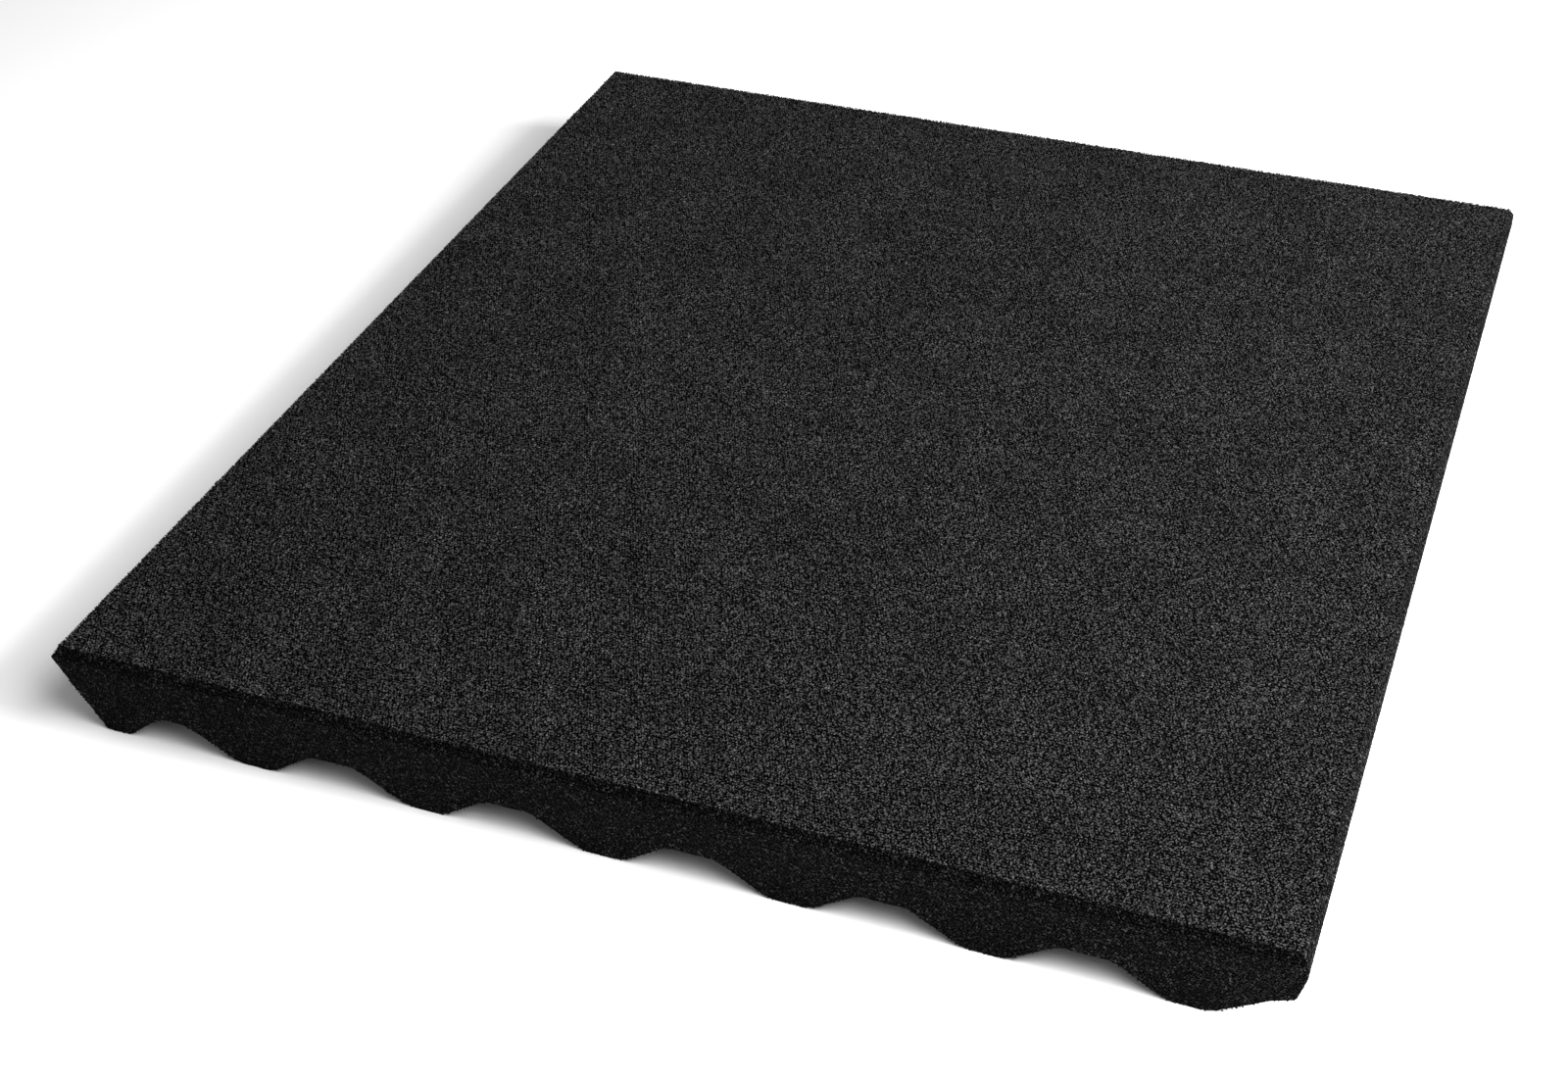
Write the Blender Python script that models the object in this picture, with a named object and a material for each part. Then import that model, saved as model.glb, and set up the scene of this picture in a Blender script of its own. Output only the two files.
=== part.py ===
# Square safety mat moulded in one piece from bonded rubber crumb.
# The tread face is flat with a chamfered rim, and the underside is a row of
# round-cornered ribs with drainage grooves between them, front to back.
# Frame: +X along the front edge, +Y from front to back, +Z up, and the origin
# at the middle of the footprint, level with the feet of the ribs.

import math

import bmesh
import bpy
from mathutils import Vector

# Overall size
WIDTH = 1.000             # along X, across the ribs
DEPTH = 1.000             # along Y, the way the ribs run
THICKNESS = 0.080         # from the feet of the ribs to the tread face

# Chamfer around the tread face
RIM_WIDTH = 0.006
RIM_HEIGHT = 0.0095

# The waves of the underside, measured from the left side
GROOVE_DEPTH = 0.028
RIB_PITCH = 0.1505
RIB_COUNT = 6             # full ribs, beside the narrow one at the left end
FIRST_RIB_CENTRE = 0.168
RIB_FOOT = 0.032          # width of a foot between its two corners
FLANK_RUN = 0.040         # how far a flank spreads between foot and groove
RIB_ROUND = 0.026         # radius at the corners of a foot
GROOVE_ROUND = 0.020      # radius at the corners of a groove

# The narrow rib under the left side, whose outer wall is undercut
END_RIB_START = 0.030
END_RIB_END = 0.0525
END_FLANK_RUN = 0.034
END_RIB_ROUND = 0.005

# The thin right side, where the last groove runs out in a lifted lip
LIP_RUN = 0.006           # how far the lip's slope comes in from the side
LIP_BOTTOM = 0.036        # heights of the lower and upper end of that slope
LIP_TOP = 0.059
LIP_ROUND = 0.005

ARC_STEPS = 6

# Finish
RUBBER_COLOUR = (0.022, 0.022, 0.022, 1.0)
RUBBER_ROUGHNESS = 0.85


def clear_scene():
    for obj in list(bpy.data.objects):
        bpy.data.objects.remove(obj, do_unlink=True)


def underside_corners():
    """(x, z, radius) of each corner from the left shoulder round to the right one, x from the left side."""
    shoulder = THICKNESS - RIM_HEIGHT
    corners = [
        (0.0, shoulder, 0.0),
        (END_RIB_START, 0.0, END_RIB_ROUND),
        (END_RIB_END, 0.0, GROOVE_ROUND),
        (END_RIB_END + END_FLANK_RUN, GROOVE_DEPTH, GROOVE_ROUND),
    ]
    for rib in range(RIB_COUNT):
        centre = FIRST_RIB_CENTRE + rib * RIB_PITCH
        foot = RIB_FOOT / 2
        top = foot + FLANK_RUN
        corners += [
            (centre - top, GROOVE_DEPTH, GROOVE_ROUND),
            (centre - foot, 0.0, RIB_ROUND),
            (centre + foot, 0.0, RIB_ROUND),
            (centre + top, GROOVE_DEPTH, GROOVE_ROUND),
        ]
    corners += [
        (WIDTH - LIP_RUN, LIP_BOTTOM, LIP_ROUND),
        (WIDTH, LIP_TOP, LIP_ROUND),
        (WIDTH, shoulder, 0.0),
    ]
    return corners


def arc_at(before, corner, after, radius):
    """Points of the arc that rounds one corner, from the side of before to the side of after."""
    back = (before - corner).normalized()
    ahead = (after - corner).normalized()
    half = back.angle(ahead) / 2
    centre = corner + (back + ahead).normalized() * (radius / math.sin(half))
    start = corner + back * (radius / math.tan(half)) - centre
    turn = start.angle_signed(corner + ahead * (radius / math.tan(half)) - centre)
    points = []
    for step in range(ARC_STEPS + 1):
        angle = -turn * step / ARC_STEPS
        cosine, sine = math.cos(angle), math.sin(angle)
        points.append(centre + Vector((start.x * cosine - start.y * sine, start.x * sine + start.y * cosine)))
    return points


def rounded_outline(corners):
    places = [Vector((x, z)) for x, z, _ in corners]
    outline = [places[0]]
    for before, place, after, (_, _, radius) in zip(places, places[1:], places[2:], corners[1:]):
        outline += arc_at(before, place, after, radius)
    outline.append(places[-1])
    return outline


def crumb_rubber():
    material = bpy.data.materials.new("crumb_rubber")
    material.use_nodes = True
    shader = material.node_tree.nodes["Principled BSDF"]
    shader.inputs["Base Color"].default_value = RUBBER_COLOUR
    shader.inputs["Roughness"].default_value = RUBBER_ROUGHNESS
    shader.inputs["Metallic"].default_value = 0.0
    return material


def safety_mat():
    """The section is drawn on the front, drawn out to the back, and its top raised inside the chamfer."""
    shape = bmesh.new()
    front = [shape.verts.new((p.x - WIDTH / 2, -DEPTH / 2, p.y)) for p in rounded_outline(underside_corners())]
    section = shape.faces.new(front)
    drawn = bmesh.ops.extrude_face_region(shape, geom=[section], use_keep_orig=True)
    moved = [item for item in drawn["geom"] if isinstance(item, bmesh.types.BMVert)]
    bmesh.ops.translate(shape, verts=moved, vec=(0, DEPTH, 0))
    bmesh.ops.recalc_face_normals(shape, faces=shape.faces)
    deck = max(shape.faces, key=lambda face: face.calc_center_median().z)
    bmesh.ops.inset_region(shape, faces=[deck], thickness=RIM_WIDTH, depth=RIM_HEIGHT, use_even_offset=True)

    mesh = bpy.data.meshes.new("safety_mat")
    shape.to_mesh(mesh)
    shape.free()
    mesh.materials.append(crumb_rubber())
    mesh.shade_smooth()
    mesh.set_sharp_from_angle(angle=math.radians(25))
    mat = bpy.data.objects.new("safety_mat", mesh)
    bpy.context.scene.collection.objects.link(mat)
    return mat


clear_scene()
safety_mat()
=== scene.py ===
import math

import bmesh
import bpy
import numpy as np
from mathutils import Matrix, Vector


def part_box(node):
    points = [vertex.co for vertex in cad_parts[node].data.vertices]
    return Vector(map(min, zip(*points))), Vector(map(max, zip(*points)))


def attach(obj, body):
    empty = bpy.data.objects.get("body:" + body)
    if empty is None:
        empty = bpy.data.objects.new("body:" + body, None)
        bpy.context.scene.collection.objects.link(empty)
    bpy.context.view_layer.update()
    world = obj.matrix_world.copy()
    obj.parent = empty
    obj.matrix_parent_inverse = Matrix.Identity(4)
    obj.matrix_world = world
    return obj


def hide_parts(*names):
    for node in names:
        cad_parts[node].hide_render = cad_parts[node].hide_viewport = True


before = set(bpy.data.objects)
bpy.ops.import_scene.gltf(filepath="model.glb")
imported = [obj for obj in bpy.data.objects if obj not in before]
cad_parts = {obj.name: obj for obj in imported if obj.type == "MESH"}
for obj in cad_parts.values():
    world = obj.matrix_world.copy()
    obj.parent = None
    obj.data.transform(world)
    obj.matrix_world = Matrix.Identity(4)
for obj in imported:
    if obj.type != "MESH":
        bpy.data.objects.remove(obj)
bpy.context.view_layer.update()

print("frame loaded")

# The mat stands on the floor: X along its front edge, Y towards its back, Z up
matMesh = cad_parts["safety_mat"].data
matLow, matHigh = (np.array(corner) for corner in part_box("safety_mat"))
touching = 1e-6    # points closer than this are one
flatWithin = 0.5   # degrees, up to which triangles share a plane


# Short ways to add and join shader nodes

def addNode(tree, kind, name, **settings):
    node = tree.nodes.new(kind)
    node.name = node.label = name
    for key, value in settings.items():
        setattr(node, key, value)
    return node


def plug(tree, value, socket):
    if isinstance(value, (int, float, tuple)):
        socket.default_value = value
    else:
        tree.links.new(value, socket)


def calculate(tree, name, operation, first, second):
    node = addNode(tree, "ShaderNodeMath", name, operation=operation)
    plug(tree, first, node.inputs[0])
    plug(tree, second, node.inputs[1])
    return node.outputs[0]


def calculateVector(tree, name, operation, first, second):
    node = addNode(tree, "ShaderNodeVectorMath", name, operation=operation)
    plug(tree, first, node.inputs[0])
    plug(tree, second, node.inputs[1])
    return node.outputs["Value" if operation == "DOT_PRODUCT" else "Vector"]


def spread(tree, name, value, fromLow, fromHigh, toLow=0.0, toHigh=1.0, ease="LINEAR"):
    node = addNode(tree, "ShaderNodeMapRange", name, interpolation_type=ease)
    plug(tree, value, node.inputs["Value"])
    plug(tree, fromLow, node.inputs["From Min"])
    plug(tree, fromHigh, node.inputs["From Max"])
    plug(tree, toLow, node.inputs["To Min"])
    plug(tree, toHigh, node.inputs["To Max"])
    return node.outputs["Result"]


def grey(value):
    return (value, value, value, 1.0)


# Bonded crumb, as every finish here shows it: small cells with sunken seams between them, darkened with
# painted shade, each leaning its own way and with a tone of its own, pressed harder in some patches than in
# others
crumbInputs = {
    "Cell Size": 0.0020,
    "Cell Lean": 0.5,     # how steeply the cells lean, 0 for level ones
    "Seam Depth": 0.0003,
    # painted shade: a seam keeps only this share of the tone, standing in for the shade down in it
    "Painted Seam Shade": 0.2,    # share of the tone that is left in a seam
    "Tone": 0.5,          # from 0 at the darkest to 1 at the palest
    "Darkest": 0.001,
    "Palest": 0.05,
    "Roughest": 0.8,
    "Smoothest": 0.4,
}
crumbPattern = {
    # height counts in both axes of the pattern, so that upright faces have cells too
    "unfold": {"X": (1.0, 0.0, 1.0), "Y": (0.0, 1.0, 0.7)},
    "seamFull": 0.62,   # distance from a cell's middle, in cells, from which all is seam
    "seamNone": 0.38,   # and up to which nothing is
    "cellTone": (0.75, 1.25),
    "patchesInMetre": 11.0,
    "patchNoise": (0.3, 0.7),
    "patchTone": (0.78, 1.0),
}


def makeCrumbGroup():
    group = bpy.data.node_groups.new("bondedCrumb", "ShaderNodeTree")
    sockets = group.interface
    for name, value in crumbInputs.items():
        sockets.new_socket(name=name, in_out="INPUT", socket_type="NodeSocketFloat").default_value = value
    for name, kind in (("Colour", "Color"), ("Roughness", "Float"), ("Height", "Float")):
        sockets.new_socket(name=name, in_out="OUTPUT", socket_type="NodeSocket" + kind)
    given = addNode(group, "NodeGroupInput", "given").outputs
    result = addNode(group, "NodeGroupOutput", "result").inputs
    solidPlace = addNode(group, "ShaderNodeTexCoord", "place").outputs["Object"]
    unfolded = addNode(group, "ShaderNodeCombineXYZ", "place on the unfolded faces")
    for axis, weights in crumbPattern["unfold"].items():
        along = calculateVector(group, "place along " + axis, "DOT_PRODUCT", solidPlace, weights)
        plug(group, along, unfolded.inputs[axis])
    place = unfolded.outputs["Vector"]

    # the cells, their lean and the seams between them
    cells = addNode(group, "ShaderNodeTexVoronoi", "small cells", feature="F1", voronoi_dimensions="2D")
    plug(group, place, cells.inputs["Vector"])
    cellsInMetre = calculate(group, "cells in a metre", "DIVIDE", 1.0, given["Cell Size"])
    plug(group, cellsInMetre, cells.inputs["Scale"])
    lean = calculateVector(group, "lean of a cell", "SUBTRACT", cells.outputs["Color"], (0.5, 0.5, 0.5))
    offset = calculateVector(group, "way from its middle", "SUBTRACT", place, cells.outputs["Position"])
    facet = calculateVector(group, "facet", "DOT_PRODUCT", offset, lean)
    facet = calculate(group, "leaning facet", "MULTIPLY", facet, given["Cell Lean"])
    seamRange = (crumbPattern["seamFull"], crumbPattern["seamNone"])
    solid = spread(group, "solid middle", cells.outputs["Distance"], *seamRange, ease="SMOOTHSTEP")
    rise = calculate(group, "rise above the seam", "MULTIPLY", solid, given["Seam Depth"])
    plug(group, calculate(group, "height", "ADD", facet, rise), result["Height"])

    # what darkens a grain: its patch and its cell, which are its own tone, and its seams, where the
    # darkening is painted shade
    patch = addNode(group, "ShaderNodeTexNoise", "uneven pressing", noise_dimensions="2D")
    plug(group, place, patch.inputs["Vector"])
    plug(group, crumbPattern["patchesInMetre"], patch.inputs["Scale"])
    patchRange = (*crumbPattern["patchNoise"], *crumbPattern["patchTone"])
    pressed = spread(group, "pressed patches", patch.outputs["Fac"], *patchRange, ease="SMOOTHSTEP")
    own = addNode(group, "ShaderNodeSeparateColor", "cell colour")
    plug(group, cells.outputs["Color"], own.inputs["Color"])
    cellTone = spread(group, "cell tone", own.outputs["Green"], 0.0, 1.0, *crumbPattern["cellTone"])
    # painted shade: the seams are darkened in colour, for the shade that falls into them
    paintedSeamShade = spread(group, "shade painted in the seams", solid, 0.0, 1.0, given["Painted Seam Shade"], 1.0)
    tone = calculate(group, "pressed tone", "MULTIPLY", given["Tone"], pressed)
    tone = calculate(group, "tone in a cell", "MULTIPLY", tone, cellTone)
    tone = calculate(group, "seamed tone", "MULTIPLY", tone, paintedSeamShade)

    value = spread(group, "grey of the tone", tone, 0.0, 1.0, given["Darkest"], given["Palest"])
    colour = addNode(group, "ShaderNodeCombineColor", "colour")
    for channel in ("Red", "Green", "Blue"):
        plug(group, value, colour.inputs[channel])
    plug(group, colour.outputs["Color"], result["Colour"])
    polish = spread(group, "polish", tone, 0.0, 1.0, given["Roughest"], given["Smoothest"])
    plug(group, polish, result["Roughness"])
    return group


# The finishes: the bed between the grains, nearly black as painted shade for the gaps, the grains that stand
# up from it on the tread face, and those of the sides and the underside, which the mould has kept smooth,
# with their colour kept darker as painted shade
# painted shade: the bed is nearly black, with black seams, for the shade deep in the gaps between the grains
bedFinishPaintedShade = {
    "shine": 0.01,
    "Cell Size": 0.0018,
    "Cell Lean": 1.0,
    "Seam Depth": 0.0006,
    "Painted Seam Shade": 0.0,
    "Darkest": 0.0002,
    "Palest": 0.0030,
    "Roughest": 0.90,
    "Smoothest": 0.60,
}
treadFinish = {
    "shine": 0.09,
    "Cell Size": 0.0011,
    "Cell Lean": 0.6,
    "Seam Depth": 0.0004,
    # painted shade: the tread's seams keep almost none of the tone
    "Painted Seam Shade": 0.02,
    "Darkest": 0.001,
    "Palest": 0.045,
    "Roughest": 0.75,
    "Smoothest": 0.36,
}
# painted shade: the sides' tones are kept darker than the tread's, for the front and side faces that the
# light leaves dark
sideFinishPaintedShade = {
    "shine": 0.08,
    "Cell Size": 0.0020,
    "Cell Lean": 0.3,
    "Seam Depth": 0.0002,
    "Painted Seam Shade": 0.25,
    "Darkest": 0.001,
    "Palest": 0.030,
    "Roughest": 0.80,
    "Smoothest": 0.40,
}


def makeRubber(name, finish, crumbGroup, toneLayer=None):
    material = bpy.data.materials.new(name)
    material.use_nodes = True
    tree = material.node_tree
    shader = tree.nodes["Principled BSDF"]
    shader.inputs["Specular IOR Level"].default_value = finish["shine"]
    crumb = addNode(tree, "ShaderNodeGroup", "bonded crumb", node_tree=crumbGroup)
    for socket in crumb.inputs:
        if socket.name in finish:
            socket.default_value = finish[socket.name]
    if toneLayer:
        grainTone = addNode(tree, "ShaderNodeAttribute", "tone of the grain", attribute_name=toneLayer)
        plug(tree, grainTone.outputs["Fac"], crumb.inputs["Tone"])
    relief = addNode(tree, "ShaderNodeBump", "relief")
    plug(tree, 1.0, relief.inputs["Distance"])
    plug(tree, crumb.outputs["Height"], relief.inputs["Height"])
    plug(tree, crumb.outputs["Colour"], shader.inputs["Base Color"])
    plug(tree, crumb.outputs["Roughness"], shader.inputs["Roughness"])
    plug(tree, relief.outputs["Normal"], shader.inputs["Normal"])
    return material


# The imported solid's flat faces, with the triangles that share a plane joined

def solidShape():
    shape = bmesh.new()
    shape.from_mesh(matMesh)
    bmesh.ops.remove_doubles(shape, verts=shape.verts, dist=touching)
    onePlane = math.radians(flatWithin)
    bmesh.ops.dissolve_limit(shape, angle_limit=onePlane, verts=shape.verts, edges=shape.edges)
    bmesh.ops.recalc_face_normals(shape, faces=shape.faces)
    return shape


def addPiece(name, mesh, material, replaces=False):
    mesh.materials.append(material)
    piece = bpy.data.objects.new(name, mesh)
    bpy.context.scene.collection.objects.link(piece)
    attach(piece, "root")
    if replaces:
        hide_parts("safety_mat")
    print(f"{name}: {len(mesh.polygons)} triangles")


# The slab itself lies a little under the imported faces, and the grains fill it up to them
slab = {
    "cell": 0.020,         # it is cut into cells of about this size
    "sunk": 0.0004,
    "treadSunk": 0.0012,   # this much more under the tread face, where the gaps are deeper
    "wobble": 0.0002,
    "sharpest": 2.0,       # the most that a corner moves in, in depths
    "seed": 7,
}


def cutIntoCells(shape, axis):
    normal = Vector((axis == 0, axis == 1, axis == 2))
    count = round((matHigh[axis] - matLow[axis]) / slab["cell"])
    for cut in range(1, count):
        place = normal * (matLow[axis] + (matHigh[axis] - matLow[axis]) * cut / count)
        everything = shape.verts[:] + shape.edges[:] + shape.faces[:]
        bmesh.ops.bisect_plane(shape, geom=everything, plane_co=place, plane_no=normal, dist=touching)


def makeSlab(material):
    shape = solidShape()
    for axis in (0, 2, 1):
        cutIntoCells(shape, axis)
    draw = np.random.default_rng(slab["seed"])
    shape.normal_update()
    moves = []
    for vert in shape.verts:
        depth = slab["sunk"] + slab["wobble"] * draw.uniform(-1, 1)
        depth *= min(vert.calc_shell_factor(), slab["sharpest"])
        extra = slab["treadSunk"] if vert.co.z > matHigh[2] - touching else 0.0
        moves.append(-depth * vert.normal - Vector((0, 0, extra)))
    for vert, move in zip(shape.verts, moves):
        vert.co += move
    bmesh.ops.triangulate(shape, faces=shape.faces)
    mesh = bpy.data.meshes.new("mat_slab")
    shape.to_mesh(mesh)
    shape.free()
    addPiece("mat_slab", mesh, material, replaces=True)


# Where the grains lie: on rows over each flat face, each a little out of its place
placeShift = 0.27   # of the spacing, either way


def insideOutline(place, outline):
    # counts how often a line from each place to the right crosses the outline
    inside = np.zeros(len(place), bool)
    for start, end in zip(outline, np.roll(outline, -1, axis=0)):
        if start[1] == end[1]:
            continue
        between = (start[1] > place[:, 1]) != (end[1] > place[:, 1])
        reach = start[0] + (place[:, 1] - start[1]) * (end[0] - start[0]) / (end[1] - start[1])
        inside ^= between & (place[:, 0] < reach)
    return inside


def evenPlaces(faces, count, draw):
    # equally close on all of the faces, with each place's own axes: along, across and out of the face
    area = sum(face["area"] for face in faces)
    spacing = math.sqrt(area / count)
    spots, axes = [], []
    for face in faces:
        corners = face["corners"]
        edges = np.roll(corners, -1, axis=0) - corners
        along = edges[np.argmax(np.linalg.norm(edges, axis=1))]
        along = along / np.linalg.norm(along)
        across = np.cross(face["normal"], along)
        flat = np.stack([corners @ along, corners @ across], axis=1)
        low, high = flat.min(axis=0), flat.max(axis=0)
        length, width = high - low
        rows = max(1, round(width / spacing))
        columns = max(1, round(length * width / spacing**2 / rows))
        row, column = np.divmod(np.arange(rows * columns), columns)
        step = np.array([length / columns, width / rows])
        staggered = (column + 0.5 * (row % 2)) % columns   # every second row is half a step along
        cell = np.stack([staggered, row], axis=1) + 0.5
        place = low + (cell + draw.uniform(-placeShift, placeShift, cell.shape)) * step
        place = place[insideOutline(place, flat)]
        height = float(corners[0] @ face["normal"])
        spots.append(place[:, :1] * along + place[:, 1:] * across + height * face["normal"])
        axes.append(np.broadcast_to(np.stack([along, across, face["normal"]]), (len(place), 3, 3)))
    return np.concatenate(spots), np.concatenate(axes)


# The three shapes of grain, each a small closed mesh: its corners in half lengths, half widths and depths,
# its triangles, and where each triangle lies on the grain's own square of the bake's map

def chipShape():
    # flat top of three corners over a wider foot of three, turned by a sixth
    topReach, footReach = 0.86, 1.12
    turns = np.radians([0, 120, 240, 60, 180, 300])
    reach = np.array([topReach] * 3 + [footReach] * 3)
    height = np.array([0.0] * 3 + [-1.0] * 3)
    corners = np.stack([np.cos(turns) * reach, np.sin(turns) * reach, height], axis=1)
    faces = [(0, 1, 2), (5, 4, 3)]
    for top in range(3):
        after, foot = (top + 1) % 3, 3 + top
        faces += [(top, foot, after), (foot, 3 + after, after)]
    topSpread, footSpread = 0.25, 0.42   # how far each reaches over the square from its middle
    flat = 0.5 + corners[:, :2] * np.array([[topSpread]] * 3 + [[footSpread]] * 3)
    onMap = [flat[list(face)] for face in faces]
    start, end = 0.9, 0.99   # the hidden foot lies in a corner of the square
    onMap[1] = np.array([(end, end), (end, start), (start, end)])
    return corners, faces, onMap


def splinterShape():
    # flat top of three corners over one point
    reach = 1.2
    turns = np.radians([0, 120, 240])
    top = [(math.cos(turn) * reach, math.sin(turn) * reach, 0.0) for turn in turns]
    corners = np.array(top + [(0.0, 0.0, -1.0)])
    faces = [(0, 1, 2), (1, 0, 3), (2, 1, 3), (0, 2, 3)]
    start, end = 0.03, 0.97
    topEnd, sidesStart = 0.9, 0.12   # the top fills one half of the square, and the sides the other
    onMap = [np.array([(start, start), (topEnd, start), (start, topEnd)])]
    rim = np.array([(end, sidesStart), (sidesStart, end), (end, end)])
    middle = rim.mean(axis=0)
    onMap += [np.array([rim[face[0]], rim[face[1]], middle]) for face in faces[1:]]
    return corners, faces, onMap


def ridgeShape():
    # two leaning facets that meet in a ridge
    ridge, slip, foot = 1.15, 0.1, -0.55   # half the ridge, how far its sides slip along it, and their depth
    corners = np.array([(-ridge, 0.0, 0.0), (ridge, 0.0, 0.0), (slip, 1.0, foot), (-slip, -1.0, foot)])
    faces = [(0, 1, 2), (1, 0, 3), (0, 2, 3), (1, 3, 2)]
    start, end = 0.03, 0.97
    ridgeStart, ridgeEnd = 0.06, 0.94
    rim = np.array([(ridgeStart, 0.5), (ridgeEnd, 0.5), (0.5, end), (0.5, start)])
    onMap = [rim[[0, 1, 2]], rim[[1, 0, 3]]]
    hidden = 0.22   # the two hidden faces take this much of two corners
    onMap.append(np.array([(start, end), (start + hidden, end), (start, end - hidden)]))
    onMap.append(np.array([(end, start), (end - hidden, start), (end, start + hidden)]))
    return corners, faces, onMap


# How a grain differs from its neighbours
grainMaking = {
    "sizeFall": 1.4,             # above 1, small grains outnumber large ones
    "depthShare": (0.8, 1.3),
    "cornerShift": 0.22,         # of half its length and width
    "topWear": 0.00008,          # how far at most a raised corner is worn down under the face
}


def shapeGrains(corners, grade, count, draw):
    # the corners of every grain, about its own place in the face
    size = draw.uniform(0, 1, count) ** grainMaking["sizeFall"]
    length = grade["shortest"] + (grade["longest"] - grade["shortest"]) * size
    width = length * draw.uniform(grade["slimmest"], grade["stoutest"], count)
    depth = grade["depth"] * draw.uniform(*grainMaking["depthShare"], count)
    grains = np.broadcast_to(corners, (count, len(corners), 3)).copy()
    shift = grainMaking["cornerShift"]
    grains += draw.uniform(-shift, shift, grains.shape) * (1, 1, 0)
    grains *= np.stack([length / 2, width / 2, depth], axis=1)[:, None]
    # each leans its own way, is sunk and turned by a little, and none stands above the face
    leanAngle = np.radians(draw.normal(0, grade["lean"], count))
    leanWay = draw.uniform(0, math.pi, count)
    rise = grains[:, :, 0] * np.cos(leanWay)[:, None] + grains[:, :, 1] * np.sin(leanWay)[:, None]
    grains[:, :, 2] += np.tan(leanAngle)[:, None] * rise
    grains[:, :, 2] -= draw.uniform(0, grade["sunk"], count)[:, None]
    wear = draw.uniform(0, grainMaking["topWear"], grains.shape[:2])
    grains[:, :, 2] = np.minimum(grains[:, :, 2], -wear)
    turn = draw.uniform(0, 2 * math.pi, count)
    cosine, sine = np.cos(turn)[:, None], np.sin(turn)[:, None]
    grains[:, :, 0], grains[:, :, 1] = (
        grains[:, :, 0] * cosine - grains[:, :, 1] * sine,
        grains[:, :, 0] * sine + grains[:, :, 1] * cosine,
    )
    return grains


def makeGrains(name, spots, axes, grade, material, draw):
    corners, faces, onMap = grade["shape"]()
    count, points = len(spots), len(corners)
    grains = shapeGrains(corners, grade, count, draw)
    placed = spots[:, None] + np.einsum("ncj,njk->nck", grains, axes)
    placed = np.clip(placed, matLow, matHigh)

    mesh = bpy.data.meshes.new(name)
    loops = (np.array(faces)[None] + points * np.arange(count)[:, None, None]).reshape(-1)
    mesh.vertices.add(count * points)
    mesh.vertices.foreach_set("co", placed.reshape(-1))
    mesh.loops.add(len(loops))
    mesh.loops.foreach_set("vertex_index", loops)
    mesh.polygons.add(len(loops) // 3)
    mesh.polygons.foreach_set("loop_start", np.arange(0, len(loops), 3))
    mesh.update(calc_edges=True)
    mesh.shade_flat()

    # every grain has its own small square on the bake's map, and its own tone
    squares = math.ceil(math.sqrt(count))
    row, column = np.divmod(np.arange(count), squares)
    mapPlaces = np.stack([column, row], axis=1)[:, None] + np.concatenate(onMap)[None]
    layer = mesh.uv_layers.new(name="OFBake")
    layer.uv.foreach_set("vector", (mapPlaces / squares).reshape(-1))
    tone = mesh.attributes.new("grainTone", "FLOAT", "POINT")
    tone.data.foreach_set("value", np.repeat(draw.uniform(0, 1, count) ** grade["toneFall"], points))
    addPiece(name, mesh, material)


# The tread face carries four grades of grain, mixed
treadGrains = {
    "count": 160000,
    "seed": 11,
}
treadCoarse = {
    "share": 0.075,
    "shape": chipShape,
    "shortest": 0.0026,
    "longest": 0.0038,
    "slimmest": 0.55,   # width as a share of the length
    "stoutest": 0.95,
    "depth": 0.0014,
    "lean": 9.0,        # degrees, about two grains in three within this
    "sunk": 0.0004,
    "toneFall": 0.30,   # below 1, pale grains outnumber dark ones
}
treadMedium = {
    "share": 0.308,
    "shape": splinterShape,
    "shortest": 0.0021,
    "longest": 0.0032,
    "slimmest": 0.5,
    "stoutest": 0.95,
    "depth": 0.0014,
    "lean": 18.0,
    "sunk": 0.0004,
    "toneFall": 0.30,
}
treadFine = {
    "share": 0.308,
    "shape": ridgeShape,
    "shortest": 0.0022,
    "longest": 0.0036,
    "slimmest": 0.4,
    "stoutest": 0.85,
    "depth": 0.0015,
    "lean": 18.0,
    "sunk": 0.0003,
    "toneFall": 0.30,
}
treadSmall = {
    "share": 0.309,
    "shape": ridgeShape,
    "shortest": 0.0019,
    "longest": 0.0030,
    "slimmest": 0.5,
    "stoutest": 0.90,
    "depth": 0.0014,
    "lean": 20.0,
    "sunk": 0.0003,
    "toneFall": 0.30,
}


def makeTread(faces, material):
    draw = np.random.default_rng(treadGrains["seed"])
    spots, axes = evenPlaces(faces, treadGrains["count"], draw)
    order = draw.permutation(len(spots))
    grades = {
        "tread_crumb_coarse": treadCoarse,
        "tread_crumb_medium": treadMedium,
        "tread_crumb_fine": treadFine,
        "tread_crumb_small": treadSmall,
    }
    shares = np.cumsum([grade["share"] for grade in grades.values()])
    ends = np.round(shares[:-1] * len(spots)).astype(int)
    for (name, grade), chosen in zip(grades.items(), np.split(order, ends)):
        makeGrains(name, spots[chosen], axes[chosen], grade, material, draw)


# The sides and the underside carry one grade each, which the mould has pressed flat
sideCrumb = {
    "count": 48000,
    "seed": 12,
    "shape": splinterShape,
    "shortest": 0.0018,
    "longest": 0.0032,
    "slimmest": 0.45,
    "stoutest": 0.95,
    "depth": 0.0010,
    "lean": 6.0,
    "sunk": 0.0002,
    # painted shade: most side grains are kept dark, with a few pale ones, for the faces that the light
    # leaves dark
    "toneFall": 3.0,
}
undersideCrumb = {
    **sideCrumb,
    "count": 20000,
    "seed": 13,
}


def makePressed(name, faces, grade, material):
    draw = np.random.default_rng(grade["seed"])
    spots, axes = evenPlaces(faces, grade["count"], draw)
    makeGrains(name, spots, axes, grade, material, draw)


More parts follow.
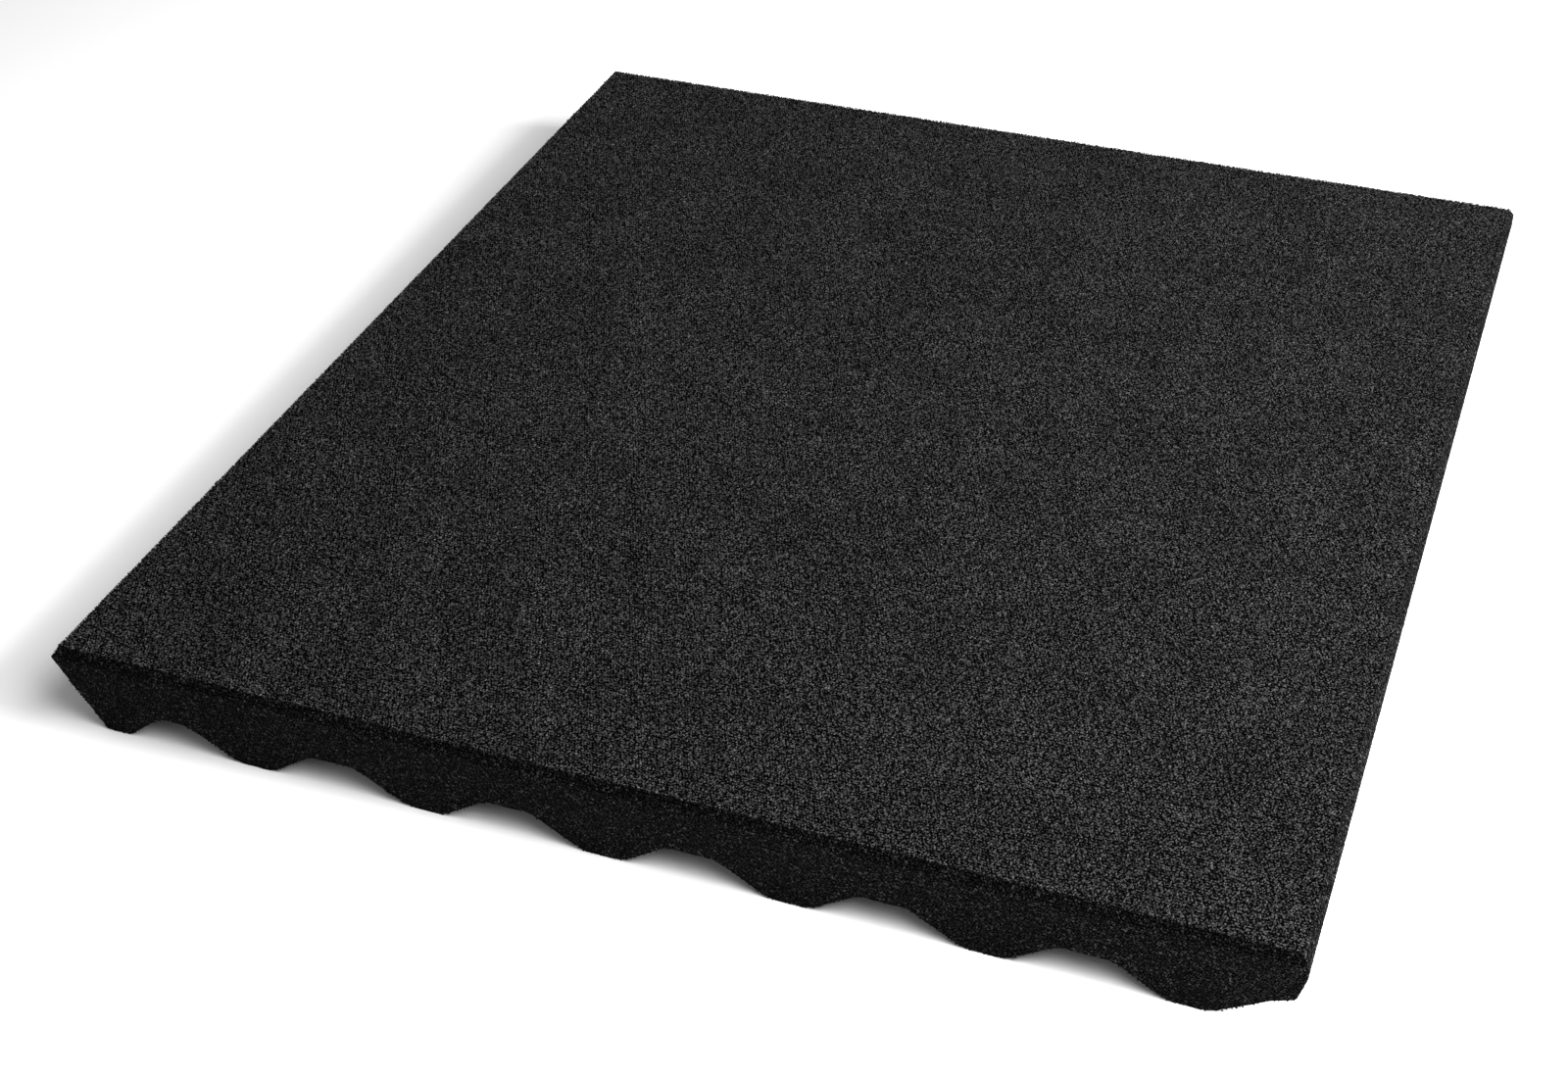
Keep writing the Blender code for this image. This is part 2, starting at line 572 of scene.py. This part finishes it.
def sortFaces():
    # the tread face, the sides with the chamfer and the undercut, and the underside with its ribs
    treadSlope, sideSlope = 0.9, -0.5   # how far up a face's normal points, at least
    shape = solidShape()
    tread, sides, underside = [], [], []
    for face in shape.faces:
        here = {
            "corners": np.array([vert.co[:] for vert in face.verts]),
            "normal": np.array(face.normal[:]),
            "area": face.calc_area(),
        }
        if face.normal.z > treadSlope:
            tread.append(here)
        elif face.normal.z > sideSlope:
            sides.append(here)
        else:
            underside.append(here)
    shape.free()
    return tread, sides, underside


# Floor, light and camera
studio = {
    "floorSize": 16.0,
    "floorColour": grey(0.90),
    "floorRoughness": 0.95,
    "floorShine": 0.1,
    "keyPlace": (2.4, 0.3, 1.3),    # low on the right
    "keySize": 1.6,
    "keyPower": 240.0,
    "topPlace": (0.65, -0.5, 1.15),  # above the front right corner
    "topSize": 1.0,
    "topPower": 35.0,
    "skyColour": grey(1.0),
    "skyStrength": 0.32,
}


def makeFloor():
    half = studio["floorSize"] / 2
    mesh = bpy.data.meshes.new("floor")
    corners = [(-half, -half, 0), (half, -half, 0), (half, half, 0), (-half, half, 0)]
    mesh.from_pydata(corners, [], [(0, 1, 2, 3)])
    floor = bpy.data.objects.new("floor", mesh)
    bpy.context.scene.collection.objects.link(floor)
    paper = bpy.data.materials.new("paleFloor")
    paper.use_nodes = True
    shader = paper.node_tree.nodes["Principled BSDF"]
    shader.inputs["Base Color"].default_value = studio["floorColour"]
    shader.inputs["Roughness"].default_value = studio["floorRoughness"]
    shader.inputs["Specular IOR Level"].default_value = studio["floorShine"]
    mesh.materials.append(paper)


def softbox(name, place, size, power):
    lamp = bpy.data.lights.new(name, "AREA")
    lamp.shape = "SQUARE"
    lamp.size = size
    lamp.energy = power
    box = bpy.data.objects.new(name, lamp)
    bpy.context.scene.collection.objects.link(box)
    box.location = place
    box.rotation_euler = (-Vector(place)).to_track_quat("-Z", "Y").to_euler()  # looks at the mat's middle


def makeLight():
    softbox("keyLight", studio["keyPlace"], studio["keySize"], studio["keyPower"])
    softbox("topLight", studio["topPlace"], studio["topSize"], studio["topPower"])
    sky = bpy.data.worlds.new("studioSky")
    sky.use_nodes = True
    background = sky.node_tree.nodes["Background"].inputs
    background["Strength"].default_value = studio["skyStrength"]
    background["Color"].default_value = studio["skyColour"]
    bpy.context.scene.world = sky
    bpy.context.scene.view_settings.view_transform = "Standard"


# The photograph's view, worked out from the mat's corners in its 1600 x 1100 picture
photoView = {
    "pictureWidth": 1600,
    "focalPixels": 2171.2,   # focal length
    "axisX": 1000,           # where the lens looks straight ahead, on the picture's middle row
    "place": (0.5918, -1.4168, 1.2057),
    "heading": 19.17,        # degrees to the left of straight ahead
    "pitch": 40.09,          # degrees down
    "roll": -1.008,
    "sensorWidth": 36.0,     # millimetres
}


def makeCamera():
    lens = bpy.data.cameras.new("photoCamera")
    width = photoView["pictureWidth"]
    lens.sensor_width = photoView["sensorWidth"]
    lens.lens = photoView["focalPixels"] / width * photoView["sensorWidth"]
    lens.shift_x = (width / 2 - photoView["axisX"]) / width
    camera = bpy.data.objects.new("photoCamera", lens)
    bpy.context.scene.collection.objects.link(camera)
    turn = Matrix.Rotation(math.radians(photoView["heading"]), 4, "Z")
    tip = Matrix.Rotation(math.radians(90 - photoView["pitch"]), 4, "X")
    roll = Matrix.Rotation(math.radians(photoView["roll"]), 4, "Z")
    camera.matrix_world = Matrix.Translation(photoView["place"]) @ turn @ tip @ roll
    bpy.context.scene.camera = camera


makeCamera()
makeFloor()
makeLight()
print("studio ready")

crumbGroup = makeCrumbGroup()
bedRubberPaintedShade = makeRubber("bedRubberPaintedShade", bedFinishPaintedShade, crumbGroup)
treadRubber = makeRubber("treadCrumbRubber", treadFinish, crumbGroup, "grainTone")
sideRubberPaintedShade = makeRubber("sideCrumbRubberPaintedShade", sideFinishPaintedShade, crumbGroup, "grainTone")
print("rubber finishes ready")

makeSlab(bedRubberPaintedShade)
treadFaces, sideFaces, undersideFaces = sortFaces()
makeTread(treadFaces, treadRubber)
makePressed("side_crumb", sideFaces, sideCrumb, sideRubberPaintedShade)
makePressed("underside_crumb", undersideFaces, undersideCrumb, sideRubberPaintedShade)
print("grains ready")
